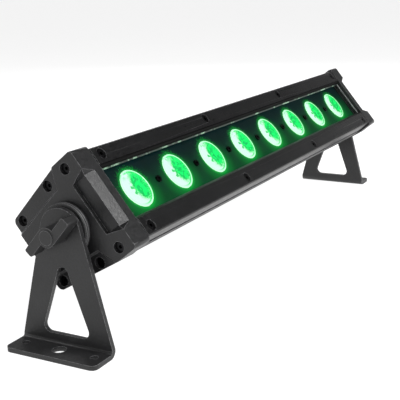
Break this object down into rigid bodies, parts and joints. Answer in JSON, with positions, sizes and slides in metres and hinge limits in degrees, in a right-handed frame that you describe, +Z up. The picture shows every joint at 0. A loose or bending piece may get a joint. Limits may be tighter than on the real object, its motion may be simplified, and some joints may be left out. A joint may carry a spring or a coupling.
{
  "type": "led strip batten",
  "caption": "Stage light bar with a row of round lenses behind a glass window, cast end caps and two A-shaped floor brackets clamped by wing knobs.",
  "frame": {"origin": "on the floor below the middle of the pivot axis, at the centre of the four foot holes", "axes": "+X along the bar, -Y the side the light leaves from, +Z up"},
  "size_m": [0.5628, 0.0984, 0.1349],
  "materials": {
    "housing_coat": "fine-textured black powder coat on extruded aluminium",
    "rail_coat": "fine-textured black powder coat",
    "cap_coat": "fine-textured black powder coat on die-cast aluminium",
    "bracket_coat": "satin black powder coat on bent sheet",
    "black_screw": "blackened steel",
    "pane_glass": "clear toughened glass",
    "seal_rubber": "black rubber",
    "lens_plate_coat": "matt black plate lit by the lenses",
    "holder_plastic": "black moulded plastic",
    "lens_clear": "clear moulded lens, lit green",
    "led_chip": "light-emitting chip under a clear dome",
    "circuit_board": "solder-masked circuit board",
    "supply_case": "bare folded aluminium",
    "disc_plastic": "moulded friction disc",
    "bushing_brass": "turned brass",
    "bare_steel": "zinc-plated steel",
    "knob_plastic": "black glass-filled nylon",
    "panel_plastic": "black moulded plastic",
    "display_tint": "smoked display cover",
    "button_rubber": "grey moulded button",
    "socket_blue": "blue moulded plastic",
    "socket_grey": "pale grey moulded plastic"
  },
  "bodies": {
    "lamp": {"housing": "housing_coat", "rail_top": "rail_coat", "rail_bottom": "rail_coat", "rail_screws_top": "black_screw", "rail_screws_bottom": "black_screw", "window_pane": "pane_glass", "window_gasket": "seal_rubber", "lens_plate": "lens_plate_coat", "lens_plate_screws": "black_screw", "lens_holders": "holder_plastic", "lens_1": "lens_clear", "lens_2": "lens_clear", "lens_3": "lens_clear", "lens_4": "lens_clear", "lens_5": "lens_clear", "lens_6": "lens_clear", "lens_7": "lens_clear", "lens_8": "lens_clear", "led_1": "led_chip", "led_2": "led_chip", "led_3": "led_chip", "led_4": "led_chip", "led_5": "led_chip", "led_6": "led_chip", "led_7": "led_chip", "led_8": "led_chip", "led_board": "circuit_board", "power_supply": "supply_case", "driver_board": "circuit_board", "end_cap_left": "cap_coat", "end_cap_right": "cap_coat", "end_gasket_left": "seal_rubber", "end_gasket_right": "seal_rubber", "cap_screws_left": "black_screw", "cap_screws_right": "black_screw", "pivot_disc_left": "disc_plastic", "pivot_disc_right": "disc_plastic", "bushing_left": "bushing_brass", "bushing_right": "bushing_brass", "control_panel": "panel_plastic", "panel_screws": "black_screw", "display_window": "display_tint", "control_board": "circuit_board", "data_in_socket": "panel_plastic", "data_out_socket": "panel_plastic", "power_in_socket": "socket_blue", "power_out_socket": "socket_grey", "socket_screws": "black_screw"},
    "bracket_left": {"bracket_left": "bracket_coat"},
    "bracket_right": {"bracket_right": "bracket_coat"},
    "washer_left": {"washer_left": "black_screw"},
    "washer_right": {"washer_right": "black_screw"},
    "knob_left": {"knob_left": "knob_plastic", "stud_left": "bare_steel"},
    "knob_right": {"knob_right": "knob_plastic", "stud_right": "bare_steel"},
    "button_1": {"button_1": "button_rubber"},
    "button_2": {"button_2": "button_rubber"},
    "button_3": {"button_3": "button_rubber"},
    "button_4": {"button_4": "button_rubber"}
  },
  "joints": [
    {"name": "bracket_left_tilt", "type": "hinge", "parent": "lamp", "child": "bracket_left", "pos_m": [-0.2586, 0, 0.0829], "axis": [1, 0, 0], "continuous": true},
    {"name": "washer_left_slide", "type": "slide", "parent": "lamp", "child": "washer_left", "axis": [-1, 0, 0], "range_m": [0, 0.0025]},
    {"name": "knob_left_turn", "type": "hinge", "parent": "washer_left", "child": "knob_left", "pos_m": [-0.27, 0, 0.0829], "axis": [-1, 0, 0], "range_deg": [0, 722]},
    {"name": "bracket_right_tilt", "type": "hinge", "parent": "lamp", "child": "bracket_right", "pos_m": [0.2586, 0, 0.0829], "axis": [1, 0, 0], "continuous": true},
    {"name": "washer_right_slide", "type": "slide", "parent": "lamp", "child": "washer_right", "axis": [1, 0, 0], "range_m": [0, 0.0025]},
    {"name": "knob_right_turn", "type": "hinge", "parent": "washer_right", "child": "knob_right", "pos_m": [0.27, 0, 0.0829], "axis": [1, 0, 0], "range_deg": [0, 722]},
    {"name": "button_1_press", "type": "slide", "parent": "lamp", "child": "button_1", "axis": [0, -0.7771, 0.6293], "range_m": [0, 0.001], "stiffness_N_per_m": 400},
    {"name": "button_2_press", "type": "slide", "parent": "lamp", "child": "button_2", "axis": [0, -0.7771, 0.6293], "range_m": [0, 0.001], "stiffness_N_per_m": 400},
    {"name": "button_3_press", "type": "slide", "parent": "lamp", "child": "button_3", "axis": [0, -0.7771, 0.6293], "range_m": [0, 0.001], "stiffness_N_per_m": 400},
    {"name": "button_4_press", "type": "slide", "parent": "lamp", "child": "button_4", "axis": [0, -0.7771, 0.6293], "range_m": [0, 0.001], "stiffness_N_per_m": 400}
  ],
  "couplings": [
    {"joint": "knob_left_turn", "follows": "washer_left_slide", "rad_per_m": 5026.5},
    {"joint": "knob_right_turn", "follows": "washer_right_slide", "rad_per_m": 5026.5}
  ]
}
